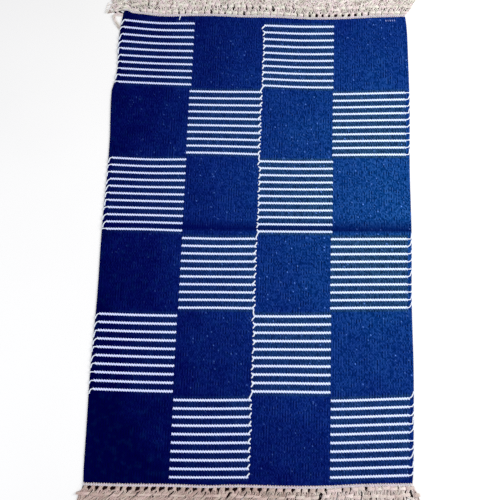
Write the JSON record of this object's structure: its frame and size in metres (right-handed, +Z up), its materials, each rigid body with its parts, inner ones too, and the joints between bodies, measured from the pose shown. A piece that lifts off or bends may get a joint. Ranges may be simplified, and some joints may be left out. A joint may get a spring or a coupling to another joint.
{
  "type": "dhurrie rug",
  "caption": "Flat-woven cotton dhurrie rug, navy, with a checker of plain blocks and thinly striped blocks, and a cream knotted fringe at both ends.",
  "frame": {"origin": "on the floor, under the middle of the whole rug's bounding box, fringes included", "axes": "+Y along the warp towards the upper end, +X across the rug, +Z up off the floor"},
  "size_m": [0.9322, 1.5546, 0.0056],
  "materials": {
    "navy_weave": "weft-faced cotton weave, matt, navy with thin white weft stripes in alternate blocks",
    "cream_fringe": "undyed twisted cotton warp yarn, matt"
  },
  "bodies": {
    "root": {"rug_body": "navy_weave", "fringe_upper_end": "cream_fringe", "fringe_lower_end": "cream_fringe"}
  },
  "joints": []
}
